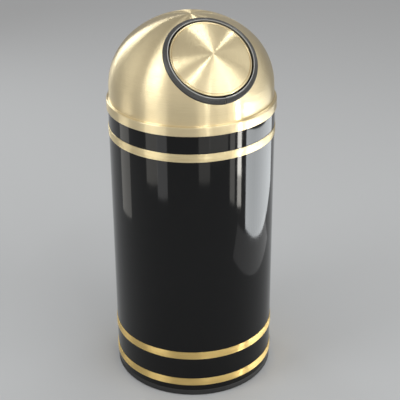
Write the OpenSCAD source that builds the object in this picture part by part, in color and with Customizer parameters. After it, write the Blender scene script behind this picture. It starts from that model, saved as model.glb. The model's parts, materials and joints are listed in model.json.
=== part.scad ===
// Dome top waste receptacle: a round steel can with three trim bands, a loose inner can with a bail,
// and a spun dome that lifts off and carries a sprung push door.
// Millimetres, +Z up, origin at the centre of the base on the floor. The door faces -Y.

/* [Overall] */
// Outside diameter of the can's wall
body_d = 381; // [360:1:420]
// Height from the floor to the top of the dome
total_h = 889; // [880:1:920]

/* [Can] */
// Sheet thickness of the can's wall
shell_t = 1.2; // [0.8:0.1:2]
// Radius of the rolled bead at the can's mouth
mouth_bead_r = 3; // [2:0.1:3.4]
// Height of the vinyl base ring under the wall
base_ring_h = 16; // [12:0.5:24]
// Radial width of the vinyl base ring
base_ring_w = 8.5; // [6:0.5:14]
// Radius of the rounded lower edge of the base ring
base_ring_round = 5; // [2:0.5:7]
// Sheet thickness of the pressed floor
floor_t = 1.2; // [0.8:0.1:2]
// Radius of the stiffening swage pressed in the floor
floor_swage_r = 105; // [60:1:140]
// Width of the lap strip behind the wall's upright seam
seam_w = 14; // [8:1:24]

/* [Trim bands] */
// Width of each band
band_w = 19; // [12:0.5:26]
// Thickness of each band
band_t = 1.1; // [0.6:0.1:2]
// Height of the lowest band's lower edge
band_low_z = 30.5; // [26:0.5:60]
// Height of the second band's lower edge
band_mid_z = 105; // [90:0.5:300]
// Gap between the upper band and the dome's skirt
band_top_drop = 42; // [24:0.5:120]
// Open gap where a band's ends meet at the rear
band_joint_gap = 0.8; // [0.4:0.1:2]

/* [Dome] */
// Width of the step between the dome and its skirt
dome_step_w = 6.5; // [5:0.5:10]
// Height of the curved part of the dome
dome_rise = 165; // [158:1:170]
// Angle above the horizontal at which the shoulder curve meets the crown curve
crown_join_angle = 48.888; // [44:0.5:54]
// Sheet thickness of the dome
dome_t = 1; // [0.8:0.1:1.5]
// Straight height between the dome's step and its curved part
dome_straight = 25; // [16:1:34]
// Height of the skirt that laps over the can
skirt_h = 22; // [14:1:34]
// Clearance between the can's wall and the skirt
skirt_gap = 2.5; // [2:0.1:5]
// Height of the turned hem inside the skirt
hem_h = 6; // [3:0.5:10]

/* [Door opening] */
// Angle of the door's axis above the horizontal
door_tilt = 48.8; // [44:0.2:54]
// Radius of the hole bored in the dome
hole_r = 98.2; // [90:0.2:100]
// Width of the vinyl edging on the outside of the dome
edging_w = 10.2; // [7:0.2:12]
// Thickness of each leg of the edging
edging_t = 2.2; // [1.4:0.1:3]
// Thickness of the edging over the sheet's edge
edging_lip = 2.4; // [1.6:0.1:3.2]
// Angle of the edging's butt joint, from the bottom of the ring
edging_joint_angle = 2; // [-60:1:60]
// Width of the butt joint
edging_joint_gap = 0.8; // [0.4:0.1:2]

/* [Door] */
// Radial gap between the door and the edging
door_gap = 4.4; // [3.6:0.1:6]
// Height of the door's crown above its rim
door_crown = 20.9; // [14:0.1:23]
// Depth of the door's crown below the line of the dome
door_recess = 5.6; // [4:0.1:9]
// Sheet thickness of the door
door_t = 1; // [0.8:0.1:1.5]
// Radius of the door's rolled rim
door_rim_r = 2; // [1.5:0.1:2.4]

/* [Hinge] */
// Distance from the dome's centre line forward to the hinge pin
pin_forward = 22; // [18:0.5:26]
// Depth of the hinge pin below the top of the dome
pin_drop = 23; // [20:0.5:26]
// Diameter of the hinge pin
pin_d = 5; // [4:0.1:6]
// Running clearance all round the hinge pin
pin_clear = 0.06; // [0.03:0.01:0.1]
// Sheet thickness of the bracket and the leaf
hinge_t = 2; // [1.5:0.1:2.5]
// Distance from the middle to the outside of a bracket ear
ear_x = 36; // [34:0.5:42]
// Side gap between a leaf cheek and a bracket ear
cheek_gap = 7; // [4:0.5:9]
// Distance from the middle to each bracket rivet
bracket_rivet_x = 48; // [46:0.5:54]
// Diameter of a bracket rivet's shank
rivet_d = 4; // [3:0.1:5]
// Diameter of the spring wire
spring_wire_d = 1.6; // [1.2:0.1:1.8]
// Turns in the closing spring
spring_turns = 7; // [5:1:8]
// Gap between the coils of the closing spring
spring_coil_gap = 0.5; // [0.45:0.05:0.7]
// Clearance between the coils and the pin
spring_clear = 1.9; // [1.2:0.1:2.2]

/* [Inner can] */
// Gap between the can's wall and the inner can's wall
liner_gap = 13.3; // [11:0.1:24]
// Sheet thickness of the inner can
liner_t = 0.8; // [0.6:0.1:1.2]
// Height of the inner can
liner_h = 632; // [560:1:634]
// Radius of the inner can's rolled rim
liner_rim_r = 2.8; // [2:0.1:3]
// Depth of the recess under the inner can's bottom
liner_recess = 7; // [5:0.5:12]
// Radius of the swaged beads round the inner can's wall
liner_bead_r = 2.5; // [1.5:0.1:4]
// Diameter of the bail wire
bail_d = 5; // [4:0.1:6]
// Width of each bail ear
ear_plate_w = 34; // [26:1:50]
// Height of each bail ear below the rim
ear_plate_drop = 34; // [28:1:50]
// Spacing of the two rivets in a bail ear
ear_rivet_gap = 18; // [12:1:24]

/* [Hidden] */
$fn = 96;
fine = 32;
eps = 0.01;
through = 40;    // length of a cutter that passes right through a sheet
seat = 0.3;      // gap at rest between pieces that can move apart
film = 0.05;     // gap between pieces that are fastened together

body_r = body_d / 2;
shell_in_r = body_r - shell_t;
skirt_in_r = body_r + skirt_gap;
skirt_r = skirt_in_r + dome_t;

// dome heights: the curved part stands on a short straight part, the step and the skirt
dome_z = total_h - dome_rise;
step_z = dome_z - dome_straight;
skirt_z = step_z - skirt_h;
mouth_z = step_z - dome_t - seat;
floor_z = base_ring_h;
band_top_z = skirt_z - band_top_drop - band_w;

// dome outline: a crown arc and a shoulder arc that meet tangent
dome_r = skirt_r - dome_step_w;
function to_micron(v) = round(1000 * v) / 1000;
shoulder_x = to_micron((dome_r - dome_rise) / (1 + tan(crown_join_angle) - 1 / cos(crown_join_angle)));
shoulder_r = dome_r - shoulder_x;
crown_r = to_micron(dome_rise + shoulder_x * tan(crown_join_angle));
crown_z = total_h - crown_r;
step_round = 3;

// door axis: it leaves the dome's centre line at door_axis_z
door_axis_z = step_z - 8;
lip_r = hole_r - edging_lip;
door_r = lip_r - door_gap;
door_ball_r = (door_r * door_r + door_crown * door_crown) / (2 * door_crown);

// distance along the door axis from its foot to the dome's crown arc
axis_drop = crown_z - door_axis_z;
axis_reach = axis_drop * sin(door_tilt)
    + sqrt(crown_r * crown_r - pow(axis_drop * cos(door_tilt), 2));
door_rim_s = axis_reach - door_recess - door_crown;

// hinge pin in the YZ plane
pin_r = pin_d / 2;
pin_y = -pin_forward;
pin_z = total_h - pin_drop;
pin_bore_r = pin_r + pin_clear;
barrel_r = pin_r + 4.2;
cheek_x = ear_x - hinge_t - cheek_gap;
pin_half = ear_x + 4.5;
clip_t = 1.2;
clip_r = pin_r + 3.2;
stop_pad_t = 3.7;
stop_pad_d = 9;
stop_y = pin_y - 12;
stop_bar_top = pin_z + 6.4;
stop_plate_z = stop_bar_top + seat + stop_pad_t;
strap_w = 20;
strap_end = 13;  // strap beyond each rivet
strap_front_y = pin_y - 5;
spring_r = pin_r + spring_clear + spring_wire_d / 2;
spring_pitch = spring_wire_d + spring_coil_gap;

// inner can
liner_r = shell_in_r - liner_gap;
liner_z = floor_z + seat;
liner_top = liner_z + liner_h;
liner_in_r = liner_r - liner_t;
liner_rim_x = liner_r + liner_rim_r - liner_t;
bail_r = bail_d / 2;
bail_z = liner_top + bail_r + seat;
ear_plate_t = 1.5;
ear_out_x = liner_in_r - film;
ear_in_x = ear_out_x - ear_plate_t;
ear_rivet_d = 4;
ear_rivet_z = liner_top - ear_plate_drop + 9;
liner_beads = [for (k = [1:2]) liner_z + liner_h * k / 3];

// ---------- shared shapes ----------

// half-plane outline of the dome, filled to its axis, drawn in by inset
module dome_outline(inset) {
    reach = 2 * crown_r;
    translate([shoulder_x, dome_z]) intersection() {
        circle(r = shoulder_r - inset, $fn = 180);
        translate([-shoulder_x, 0]) square([reach, reach]);
    }
    intersection() {
        translate([0, crown_z]) circle(r = crown_r - inset, $fn = 180);
        polygon([
            [0, crown_z],
            [reach * cos(crown_join_angle), crown_z + reach * sin(crown_join_angle)],
            [0, crown_z + reach]
        ]);
        translate([0, dome_z]) square([reach, reach]);
    }
    translate([0, step_z - dome_t]) square([dome_r - inset, dome_z - step_z + dome_t]);
}

module skirt_outline(inset, low) {
    wide = skirt_r - inset;
    round_r = step_round - inset;
    top = step_z - inset;
    translate([0, low]) square([wide, top - round_r - low]);
    translate([0, low]) square([wide - round_r, top - low]);
    translate([wide - round_r, top - round_r]) circle(r = round_r, $fn = 48);
}

// places its children in the door's frame: origin on the door axis at reach s, +Z outward, +Y up the door
module on_door_axis(s) {
    translate([0, 0, door_axis_z]) rotate([90 - door_tilt, 0, 0]) translate([0, 0, s]) children();
}

// door frame coordinates [up, out] of a point [y, z], measured from the rim plane
function door_uv(y, z) =
    let (oy = y + door_rim_s * cos(door_tilt), oz = z - door_axis_z - door_rim_s * sin(door_tilt))
    [oy * sin(door_tilt) + oz * cos(door_tilt), -oy * cos(door_tilt) + oz * sin(door_tilt)];

// a round wire swept along points, with closed ends
function unit(v) = v / norm(v);
function wire_dir(p, i) = unit(p[min(i + 1, len(p) - 1)] - p[max(i - 1, 0)]);
module swept_wire(p, r, up, sides = 8) {
    n = len(p);
    rings = [for (i = [0:n - 1])
        let (d = wire_dir(p, i), a = unit(cross(d, up)), b = cross(d, a))
        [for (k = [0:sides - 1]) p[i] + r * (cos(360 * k / sides) * a + sin(360 * k / sides) * b)]];
    points = [for (ring = rings) for (q = ring) q];
    sides_faces = [for (i = [0:n - 2]) for (k = [0:sides - 1])
        let (k2 = (k + 1) % sides, a = i * sides + k, b = i * sides + k2, c = (i + 1) * sides + k2,
            e = (i + 1) * sides + k)
        each [[a, b, c], [a, c, e]]];
    first_cap = [for (k = [1:sides - 2]) [0, k + 1, k]];
    last = (n - 1) * sides;
    last_cap = [for (k = [1:sides - 2]) [last, last + k, last + k + 1]];
    polyhedron(points = points, faces = concat(sides_faces, first_cap, last_cap), convexity = 4);
}

// ---------- can ----------

module outer_shell() {
    color("black") {
        rotate_extrude($fn = 180) {
            translate([shell_in_r, base_ring_h]) square([shell_t, mouth_z - mouth_bead_r - base_ring_h]);
            translate([body_r - mouth_bead_r, mouth_z - mouth_bead_r]) circle(r = mouth_bead_r, $fn = 48);
        }
        // lap strip behind the upright seam
        intersection() {
            seam_low = floor_z + 4;
            translate([-seam_w / 2, 0, seam_low]) cube([seam_w, body_d, mouth_z - 8 - seam_low]);
            difference() {
                cylinder(r = shell_in_r + shell_t / 2, h = mouth_z, $fn = 180);
                translate([0, 0, -1]) cylinder(r = shell_in_r - shell_t, h = mouth_z + 2, $fn = 180);
            }
        }
    }
}

module base_pan() {
    pan_r = shell_in_r - film;
    flange_low = base_ring_h / 3;
    swage_w = 16;
    swage_h = 3;
    color("dimgray") rotate_extrude($fn = 180) {
        translate([0, floor_z - floor_t]) square([floor_swage_r - swage_w / 2, floor_t]);
        translate([floor_swage_r + swage_w / 2, floor_z - floor_t])
            square([pan_r - floor_swage_r - swage_w / 2, floor_t]);
        translate([floor_swage_r - swage_w / 2 - floor_t, floor_z + swage_h - floor_t])
            square([swage_w + 2 * floor_t, floor_t]);
        for (side = [-1, 1])
            translate([floor_swage_r + side * (swage_w + floor_t) / 2 - floor_t / 2, floor_z - floor_t])
                square([floor_t, swage_h + floor_t]);
        translate([pan_r - floor_t, flange_low]) square([floor_t, floor_z - flange_low]);
    }
}

module base_ring() {
    slot_out = shell_in_r;
    slot_in = shell_in_r - film - floor_t - film;
    slot_low = base_ring_h / 3 - film;
    out_r = body_r - 0.3;
    in_r = out_r - base_ring_w;
    inner_top = base_ring_h - floor_t - 1;
    color([0.06, 0.06, 0.06]) rotate_extrude($fn = 180) difference() {
        union() {
            translate([in_r, 0]) square([base_ring_w - base_ring_round, inner_top]);
            translate([in_r, base_ring_round]) square([base_ring_w, inner_top - base_ring_round]);
            translate([slot_out, base_ring_round])
                square([out_r - slot_out, base_ring_h - base_ring_round - film]);
            intersection() {
                translate([out_r - base_ring_round, base_ring_round])
                    circle(r = base_ring_round, $fn = 48);
                translate([out_r - base_ring_round - eps, 0])
                    square([base_ring_round + eps, base_ring_round + eps]);
            }
        }
        translate([slot_in, slot_low]) square([slot_out - slot_in, base_ring_h]);
    }
}

module trim_band(z) {
    edge = band_t * 0.35;
    foot_r = body_r + film;
    color([0.86, 0.72, 0.45]) difference() {
        rotate_extrude($fn = 180) polygon([
            [foot_r, z],
            [foot_r + band_t - edge, z],
            [foot_r + band_t, z + edge],
            [foot_r + band_t, z + band_w - edge],
            [foot_r + band_t - edge, z + band_w],
            [foot_r, z + band_w]
        ]);
        translate([-band_joint_gap / 2, body_r - 2, z - 1]) cube([band_joint_gap, 8, band_w + 2]);
    }
}

module upper_band() trim_band(band_top_z);
module middle_band() trim_band(band_mid_z);
module lower_band() trim_band(band_low_z);

// ---------- inner can ----------

// the four ear rivets' places: beside the X axis, each along the wall's radius
module at_ear_rivets() {
    spread = asin(ear_rivet_gap / 2 / liner_r);
    for (side = [0, 180]) for (turn = [-spread, spread])
        rotate([0, 0, side + turn]) translate([0, 0, ear_rivet_z]) children();
}

module liner_wall() {
    color([0.62, 0.65, 0.66]) difference() {
        rotate_extrude($fn = 180) {
            translate([liner_in_r, liner_z]) square([liner_t, liner_h - liner_rim_r]);
            translate([liner_rim_x, liner_top - liner_rim_r]) circle(r = liner_rim_r, $fn = 48);
            for (z = liner_beads) intersection() {
                translate([liner_r - liner_t, z]) circle(r = liner_bead_r + liner_t, $fn = 48);
                translate([liner_r - eps, z - 10]) square([10, 20]);
            }
        }
        // hollow side of the swaged beads
        rotate_extrude($fn = 180) for (z = liner_beads)
            translate([liner_in_r, z]) circle(r = liner_bead_r, $fn = 48);
        at_ear_rivets() translate([liner_r - through / 2, 0, 0]) rotate([0, 90, 0])
            cylinder(d = ear_rivet_d + 2 * film, h = through, $fn = fine);
    }
}

// the bottom is a shallow cap with its flange turned down inside the wall
module liner_bottom() {
    out_r = liner_in_r - film;
    top = liner_z + liner_recess + liner_t;
    color([0.56, 0.59, 0.6]) rotate_extrude($fn = 180) polygon([
        [0, top - liner_t],
        [out_r - liner_t, top - liner_t],
        [out_r - liner_t, liner_z],
        [out_r, liner_z],
        [out_r, top],
        [0, top]
    ]);
}

// one bail ear stands inside the wall and rises past the rim to carry the bail
module bail_ear() {
    top = bail_z + bail_r + 3.5;
    low = liner_top - ear_plate_drop;
    intersection() {
        difference() {
            cylinder(r = ear_out_x, h = top + 1, $fn = 180);
            translate([0, 0, -1]) cylinder(r = ear_in_x, h = top + 3, $fn = 180);
        }
        rotate([90, 0, 90]) linear_extrude(height = liner_r) {
            translate([-ear_plate_w / 2, low]) square([ear_plate_w, ear_plate_drop - 6]);
            translate([-8, low]) square([16, bail_z - low]);
            translate([0, bail_z]) circle(r = 8, $fn = fine);
        }
    }
}

module bail_ears() {
    color([0.5, 0.52, 0.53]) difference() {
        for (side = [0, 180]) rotate([0, 0, side]) bail_ear();
        translate([-liner_r - 10, 0, bail_z]) rotate([0, 90, 0])
            cylinder(r = bail_r + pin_clear, h = 2 * liner_r + 20, $fn = fine);
        at_ear_rivets() translate([liner_r - through / 2, 0, 0]) rotate([0, 90, 0])
            cylinder(d = ear_rivet_d + 2 * film, h = through, $fn = fine);
    }
}

module ear_rivets() {
    head_h = 1.6;
    head_r = 4;
    // heads stand clear of the curved sheets at their edges
    in_x = ear_in_x - 0.1;
    out_x = liner_r + film;
    color([0.7, 0.71, 0.72]) at_ear_rivets() {
        translate([in_x - head_h, 0, 0]) rotate([0, 90, 0]) cylinder(r = head_r, h = head_h, $fn = fine);
        translate([in_x - eps, 0, 0]) rotate([0, 90, 0])
            cylinder(d = ear_rivet_d, h = out_x - in_x + 2 * eps, $fn = fine);
        translate([out_x, 0, 0]) rotate([0, 90, 0]) cylinder(r = head_r, h = head_h, $fn = fine);
    }
}

// the bail lies on the rolled rim along the front, its ends turned in through the ears
module bail() {
    hook_in_x = ear_in_x - 3.5;
    color([0.66, 0.68, 0.69]) translate([0, 0, bail_z]) {
        rotate([0, 0, 180]) rotate_extrude(angle = 180, $fn = 180)
            translate([liner_rim_x, 0]) circle(r = bail_r, $fn = fine);
        for (side = [0, 180]) rotate([0, 0, side]) {
            translate([liner_rim_x, 0, 0]) sphere(r = bail_r, $fn = fine);
            translate([hook_in_x, 0, 0]) rotate([0, 90, 0])
                cylinder(r = bail_r, h = liner_rim_x - hook_in_x, $fn = fine);
            // upset end that keeps the hook in its ear
            translate([hook_in_x - 2, 0, 0]) rotate([0, 90, 0])
                cylinder(r = bail_r + 1.5, h = 2 + eps, $fn = fine);
        }
    }
}

// ---------- dome ----------

module at_bracket_rivets() {
    lean = asin(bracket_rivet_x / crown_r);
    for (side = [-1, 1]) translate([0, 0, crown_z]) rotate([0, side * lean, 0]) children();
}

module dome_shell() {
    color([0.83, 0.72, 0.52]) difference() {
        rotate_extrude($fn = 180) difference() {
            union() {
                dome_outline(0);
                skirt_outline(0, skirt_z);
                // fillet where the dome stands on its step
                translate([dome_r - eps, step_z - eps]) difference() {
                    square([step_round - 1, step_round - 1]);
                    translate([step_round - 1, step_round - 1]) circle(r = step_round - 1, $fn = 48);
                }
            }
            dome_outline(dome_t);
            skirt_outline(dome_t, skirt_z + hem_h);
            translate([0, skirt_z - 1]) square([skirt_in_r - dome_t, hem_h + 2]);
        }
        on_door_axis(0) translate([0, 0, crown_r / 2]) cylinder(r = hole_r, h = crown_r, $fn = 180);
        at_bracket_rivets() translate([0, 0, crown_r - through / 2])
            cylinder(d = rivet_d + 2 * film, h = through, $fn = fine);
    }
}

// U-section vinyl pushed over the edge of the hole, so it follows the dome's curve
module door_edging() {
    leg = edging_w;
    color([0.16, 0.15, 0.15]) difference() {
        intersection() {
            rotate_extrude($fn = 180) difference() {
                dome_outline(-edging_t);
                dome_outline(dome_t + edging_t);
            }
            on_door_axis(crown_r / 2) cylinder(r = lip_r + leg, h = crown_r, $fn = 180);
        }
        on_door_axis(crown_r / 2 - 1) cylinder(r = lip_r, h = crown_r + 2, $fn = 180);
        // slot that grips the sheet
        difference() {
            rotate_extrude($fn = 180) difference() {
                dome_outline(-film);
                dome_outline(dome_t + film);
            }
            on_door_axis(crown_r / 2 - 2) cylinder(r = hole_r - film, h = crown_r + 4, $fn = 180);
        }
        // butt joint
        on_door_axis(crown_r / 2) rotate([0, 0, edging_joint_angle - 90])
            translate([lip_r - 3, -edging_joint_gap / 2, 0]) cube([leg + 6, edging_joint_gap, crown_r]);
    }
}

module hinge_bracket() {
    strap_out = crown_r - dome_t - film;
    strap_in = strap_out - hinge_t;
    strap_half = bracket_rivet_x + strap_end;
    plate_front_y = stop_y - stop_pad_d / 2 - 1;
    color([0.6, 0.6, 0.6]) difference() {
        union() {
            // strap formed to the inside of the crown
            intersection() {
                translate([0, 0, crown_z]) difference() {
                    sphere(r = strap_out, $fn = 180);
                    sphere(r = strap_in, $fn = 180);
                }
                union() {
                    translate([-strap_half, -strap_w / 2, crown_z]) cube([2 * strap_half, strap_w, crown_r]);
                    translate([-ear_x, strap_front_y, crown_z]) cube([2 * ear_x, -strap_front_y, crown_r]);
                }
            }
            // ears turned down from the strap
            intersection() {
                translate([0, 0, crown_z]) sphere(r = strap_out, $fn = 180);
                for (x = [-ear_x, ear_x - hinge_t]) translate([x, 0, 0]) rotate([90, 0, 90])
                    linear_extrude(height = hinge_t) {
                        translate([pin_y, pin_z]) circle(r = barrel_r, $fn = fine);
                        polygon([
                            [pin_y + barrel_r, pin_z],
                            [pin_y + 2 * barrel_r, total_h],
                            [strap_front_y, total_h],
                            [strap_front_y, stop_plate_z + hinge_t],
                            [plate_front_y, stop_plate_z + hinge_t],
                            [plate_front_y, stop_plate_z],
                            [pin_y - barrel_r, pin_z]
                        ]);
                    }
            }
            // stop plate between the ears, in front of the pin
            translate([-ear_x, plate_front_y, stop_plate_z])
                cube([2 * ear_x, stop_pad_d + 2, hinge_t]);
        }
        translate([-ear_x - 1, pin_y, pin_z]) rotate([0, 90, 0])
            cylinder(r = pin_r + film, h = 2 * ear_x + 2, $fn = fine);
        at_bracket_rivets() translate([0, 0, strap_in - through / 2])
            cylinder(d = rivet_d + 2 * film, h = through, $fn = fine);
    }
}

module bracket_rivets() {
    head_r = 3.2;
    head_h = 0.9;
    tail_h = 1.6;
    low = crown_r - dome_t - film - hinge_t;
    color([0.8, 0.7, 0.5]) at_bracket_rivets() {
        translate([0, 0, crown_r]) cylinder(r = head_r, h = head_h, $fn = fine);
        translate([0, 0, low - 0.2]) cylinder(d = rivet_d, h = crown_r - low + 0.2 + eps, $fn = fine);
        translate([0, 0, low - tail_h - 0.1]) cylinder(r = head_r, h = tail_h, $fn = fine);
    }
}

module hinge_pin() {
    color([0.75, 0.75, 0.76]) translate([-pin_half, pin_y, pin_z]) rotate([0, 90, 0])
        cylinder(r = pin_r, h = 2 * pin_half, $fn = fine);
}

module pin_clips() {
    color([0.4, 0.4, 0.42]) for (side = [-1, 1])
        translate([side * (ear_x + 0.15 + clip_t / 2), pin_y, pin_z]) rotate([0, 90, 0]) difference() {
            cylinder(r = clip_r, h = clip_t, center = true, $fn = fine);
            cylinder(r = pin_r + film, h = clip_t + 1, center = true, $fn = fine);
        }
}

module stop_pad() {
    color([0.1, 0.1, 0.1]) for (x = [-cheek_x, cheek_x])
        translate([x, stop_y, stop_bar_top + seat])
            cylinder(d = stop_pad_d, h = stop_pad_t - film, $fn = fine);
}

// The closing spring: a fixed leg that bears on the bracket's strap, then coils about the hinge pin.
// The coils end where the moving leg leaves them tangent, and that leg turns with the door.
fixed_leg_angle = 62;
leg_rest_u = 58;
leaf_in_r = door_ball_r - door_t - film - hinge_t;
leg_rest_w = door_crown - door_ball_r + sqrt(leaf_in_r * leaf_in_r - leg_rest_u * leg_rest_u)
    - spring_wire_d / 2 - 0.15;
pin_uv = door_uv(pin_y, pin_z);
leg_reach = norm(pin_uv - [leg_rest_u, leg_rest_w]);
leg_tangent_angle = atan2(leg_rest_w - pin_uv[1], leg_rest_u - pin_uv[0]) + acos(spring_r / leg_reach);
leg_tangent = pin_uv + spring_r * [cos(leg_tangent_angle), sin(leg_tangent_angle)];
coil_start = fixed_leg_angle - 90;
coil_end = leg_tangent_angle + 90 - door_tilt;
coil_sweep = 360 * (spring_turns - 1) + (coil_start - coil_end + 720) % 360;
spring_half = coil_sweep / 360 * spring_pitch / 2;
function coil_point(a) = [
    -spring_half + spring_pitch * a / 360,
    pin_y + spring_r * cos(coil_start - a),
    pin_z + spring_r * sin(coil_start - a)
];
module closing_spring() {
    start = coil_point(0);
    leg_dir = [0, cos(fixed_leg_angle), sin(fixed_leg_angle)];
    strap_in = crown_r - dome_t - film - hinge_t;
    from_centre = [0, start[1], start[2] - crown_z];
    along = from_centre * leg_dir;
    end_r = strap_in - spring_wire_d / 2 - 0.1;
    leg_len = sqrt(along * along - from_centre * from_centre + end_r * end_r) - along;
    steps = ceil(coil_sweep / 45);
    coil = [for (i = [0:steps]) coil_point(coil_sweep * i / steps)];
    least = min([for (i = [0:steps - 8]) norm(coil[i + 8] - coil[i])]) - spring_wire_d;
    echo(closing_spring_least_gap = least);
    color([0.55, 0.55, 0.57])
        swept_wire(concat([start + leg_len * leg_dir], coil), spring_wire_d / 2, [1, 0, 0], 6);
}

// ---------- door ----------

// sheet of the crowned door, filled to its back centre, in the door frame from its rim plane
module door_ball(inset) {
    translate([0, 0, door_crown - door_ball_r]) sphere(r = door_ball_r - inset, $fn = 180);
}

module door_panel() {
    color([0.85, 0.74, 0.52]) on_door_axis(door_rim_s) rotate_extrude($fn = 180) {
        difference() {
            translate([0, door_crown - door_ball_r]) circle(r = door_ball_r, $fn = 180);
            translate([0, door_crown - door_ball_r]) circle(r = door_ball_r - door_t, $fn = 180);
            translate([-door_ball_r, -2 * door_ball_r]) square([door_ball_r, 3 * door_ball_r]);
            translate([0, -2 * door_ball_r]) square([2 * door_ball_r, 2 * door_ball_r]);
            translate([door_r - door_rim_r, -1]) square([door_ball_r, door_ball_r]);
        }
        translate([door_r - door_rim_r, 0]) circle(r = door_rim_r, $fn = 48);
    }
}

// leaf: a plate formed to the door's back, two cheeks that run to the pin, and a stop bar
module door_leaf() {
    base_low = 38;
    base_high = 76;
    base_half = cheek_x + 4;
    bar_w = 8;
    bar_front_y = stop_y - 5;
    bar_half = cheek_x - hinge_t / 2;
    tab_top = stop_bar_top - hinge_t / 2;
    color([0.62, 0.62, 0.63]) difference() {
        union() {
            on_door_axis(door_rim_s) intersection() {
                difference() {
                    door_ball(door_t + film);
                    door_ball(door_t + film + hinge_t);
                }
                translate([-base_half, base_low, 0]) cube([2 * base_half, base_high - base_low, door_crown]);
            }
            on_door_axis(door_rim_s) intersection() {
                door_ball(door_t + film);
                for (x = [-cheek_x, cheek_x - hinge_t]) translate([x, 0, 0]) rotate([90, 0, 90])
                    linear_extrude(height = hinge_t) {
                        translate(pin_uv) circle(r = barrel_r, $fn = fine);
                        polygon([
                            [base_low + 4, door_crown],
                            [base_high - 4, door_crown],
                            [base_high, door_rim_r],
                            [base_high + 6, -door_rim_r - 4],
                            pin_uv + [-1, barrel_r],
                            pin_uv + [-4, -barrel_r + 1],
                            [base_low + 16, -6],
                            [base_low + 4, 6]
                        ]);
                        // tab that ends inside the stop bar and carries it
                        polygon([
                            pin_uv,
                            door_uv(pin_y, tab_top),
                            door_uv(bar_front_y + 1, tab_top),
                            door_uv(bar_front_y + 1, tab_top - 2.5 * hinge_t)
                        ]);
                    }
            }
            // stop bar across the cheeks
            translate([-bar_half, bar_front_y, stop_bar_top - hinge_t]) cube([2 * bar_half, bar_w, hinge_t]);
        }
        translate([-ear_x, pin_y, pin_z]) rotate([0, 90, 0])
            cylinder(r = pin_bore_r, h = 2 * ear_x, $fn = fine);
        // room for the stop pads above the bar
        translate([-ear_x, stop_y - stop_pad_d, stop_bar_top + seat / 3])
            cube([2 * ear_x, 1.5 * stop_pad_d, through]);
    }
}

// moving leg: leaves the coils tangent and bears on the back of the leaf
module spring_leg() {
    x = spring_half + spring_wire_d + 0.1;
    color([0.55, 0.55, 0.57]) on_door_axis(door_rim_s)
        swept_wire([[x, leg_tangent[0], leg_tangent[1]], [x, leg_rest_u, leg_rest_w]],
            spring_wire_d / 2, [1, 0, 0]);
}

outer_shell();
base_pan();
base_ring();
upper_band();
middle_band();
lower_band();
liner_wall();
liner_bottom();
bail_ears();
ear_rivets();
bail();
dome_shell();
door_edging();
hinge_bracket();
bracket_rivets();
hinge_pin();
pin_clips();
closing_spring();
stop_pad();
door_panel();
door_leaf();
spring_leg();
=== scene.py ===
"""A dome top waste receptacle: its visible pieces and materials, with a floor, lights and a camera.

Metres, Z up, with the origin on the ground under the can's middle, and the door toward -Y.
"""

import json
import math
from collections import namedtuple

import bmesh
import bpy
from mathutils import Matrix, Quaternion, Vector


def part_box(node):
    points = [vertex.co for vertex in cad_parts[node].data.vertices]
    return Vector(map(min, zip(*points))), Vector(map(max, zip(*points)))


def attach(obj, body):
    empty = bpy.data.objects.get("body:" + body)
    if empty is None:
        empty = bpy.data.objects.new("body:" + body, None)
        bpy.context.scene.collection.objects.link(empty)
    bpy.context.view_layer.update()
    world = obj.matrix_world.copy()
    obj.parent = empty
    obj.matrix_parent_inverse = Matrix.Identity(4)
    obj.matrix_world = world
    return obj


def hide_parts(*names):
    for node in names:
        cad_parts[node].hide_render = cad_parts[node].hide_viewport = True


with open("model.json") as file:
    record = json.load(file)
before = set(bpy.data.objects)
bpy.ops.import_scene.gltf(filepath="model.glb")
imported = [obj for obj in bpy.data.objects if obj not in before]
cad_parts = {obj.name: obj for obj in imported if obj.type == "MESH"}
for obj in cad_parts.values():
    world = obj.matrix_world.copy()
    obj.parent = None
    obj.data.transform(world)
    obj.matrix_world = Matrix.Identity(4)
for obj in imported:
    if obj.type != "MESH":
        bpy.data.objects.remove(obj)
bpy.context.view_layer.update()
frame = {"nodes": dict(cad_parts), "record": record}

MM = 0.001
FULL_TURN = 2 * math.pi
REAR = math.pi / 2  # angle about Z of the seam and of the bands' joints
FILM = 0.05 * MM    # between pieces that are fastened together


# ---------- sizes of the can ----------

WALL_LOW, WALL_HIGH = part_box("outer_shell")
CAN_R = WALL_HIGH.x
WALL_T = 1.2 * MM
WALL_EASE = 0.5 * MM
MOUTH_BEAD_R = 3 * MM
MOUTH_BEAD_CURL = 250  # degrees, from the can's side over the top and back under
MOUTH_NECK = 2.2 * MOUTH_BEAD_R  # from the bead's centre down to where the inside is upright
SEAM_HALF = 0.9 * MM        # half the groove's width at the wall's outside
SEAM_FLOOR_HALF = 0.3 * MM  # and at its floor
SEAM_DEPTH = 0.35 * MM
BAND_EDGE_R = 0.38 * MM
BAND_JOINT_GAP = 0.8 * MM
BASE_RING_W = 8.5 * MM
BASE_RING_ROUND = 5 * MM
BASE_RING_EASE = 0.8 * MM
BASE_RING_STEP = 2.2 * MM  # from the outer rim, on which the wall stands, down to the inner part


# ---------- sizes of the dome ----------

DOME_LOW, DOME_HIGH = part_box("dome_shell")
TOP_Z = DOME_HIGH.z
SKIRT_Z = DOME_LOW.z
SKIRT_R = DOME_HIGH.x
DOME_T = 1 * MM
STEP_Z = SKIRT_Z + 22 * MM
STEP_W = 6.5 * MM
STEP_ROUND = 3 * MM
STEP_FILLET = 2 * MM
HEM_H = 6 * MM
DOME_R = SKIRT_R - STEP_W
DOME_RISE = 165 * MM
DOME_Z = TOP_Z - DOME_RISE

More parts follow.
